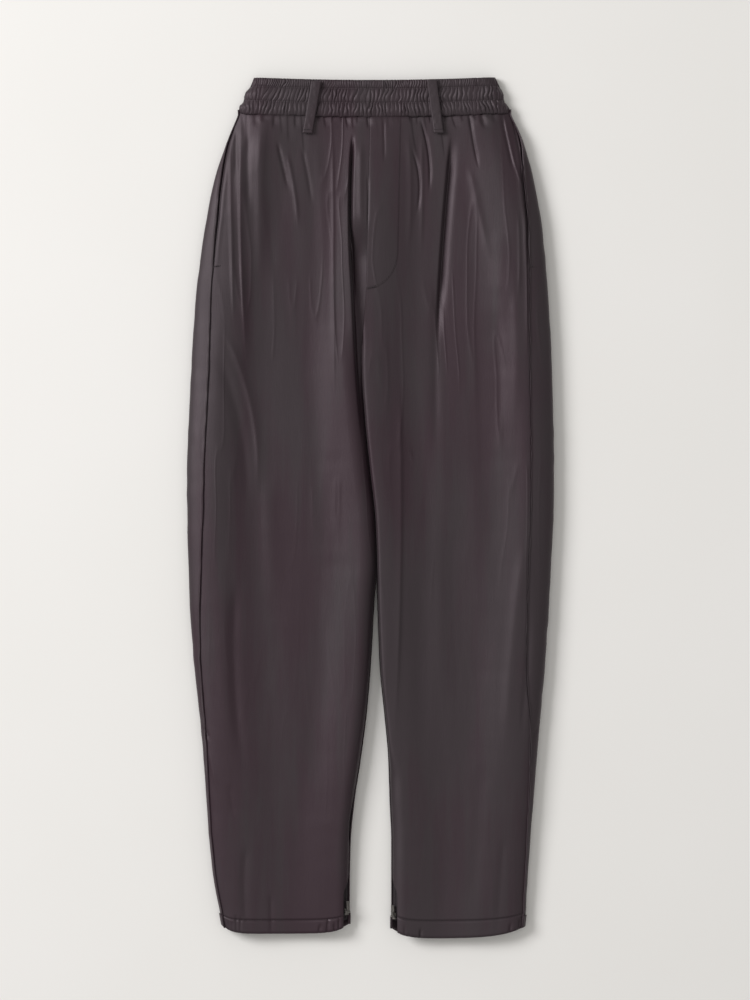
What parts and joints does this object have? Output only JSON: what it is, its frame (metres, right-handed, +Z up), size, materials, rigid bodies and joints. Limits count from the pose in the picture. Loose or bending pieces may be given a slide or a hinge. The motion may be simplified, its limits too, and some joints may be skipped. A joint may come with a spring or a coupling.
{
  "type": "track pants",
  "caption": "Silky track pants laid flat: shirred elastic waist, belt loops, mock fly, side pockets, wide tapered legs and closed ankle zips.",
  "frame": {"origin": "centre of the bounding box at its underside, on the surface that the garment lies on", "axes": "+X to the right of the picture, +Y along the garment towards the waist, +Z up from the surface"},
  "size_m": [0.4398, 1.031, 0.0287],
  "materials": {
    "shell_cloth": "silky, dark aubergine grey",
    "elastic_band": "silky, shirred over elastic",
    "pocket_cloth": "matt",
    "zip_tape": "matt woven tape with coil teeth",
    "zip_metal": "satin"
  },
  "bodies": {
    "root": {"front_left": "shell_cloth", "back_left": "shell_cloth", "pocket_left": "pocket_cloth", "zip_left": "zip_tape", "front_right": "shell_cloth", "back_right": "shell_cloth", "pocket_right": "pocket_cloth", "zip_right": "zip_tape", "waistband_front": "elastic_band", "waistband_back": "elastic_band", "fly": "shell_cloth", "loop_left": "shell_cloth", "loop_right": "shell_cloth", "slider_left": "zip_metal", "slider_right": "zip_metal"},
    "pull_left": {"pull_left": "zip_metal"},
    "pull_right": {"pull_right": "zip_metal"}
  },
  "joints": [
    {"name": "pull_left_hinge", "type": "hinge", "parent": "root", "child": "pull_left", "pos_m": [-0.02672, -0.484, 0.01543], "axis": [0.6959, 0, -0.7181], "range_deg": [0, 150]},
    {"name": "pull_right_hinge", "type": "hinge", "parent": "root", "child": "pull_right", "pos_m": [0.02649, -0.489, 0.01531], "axis": [0.6994, 0, 0.7147], "range_deg": [0, 150]}
  ]
}
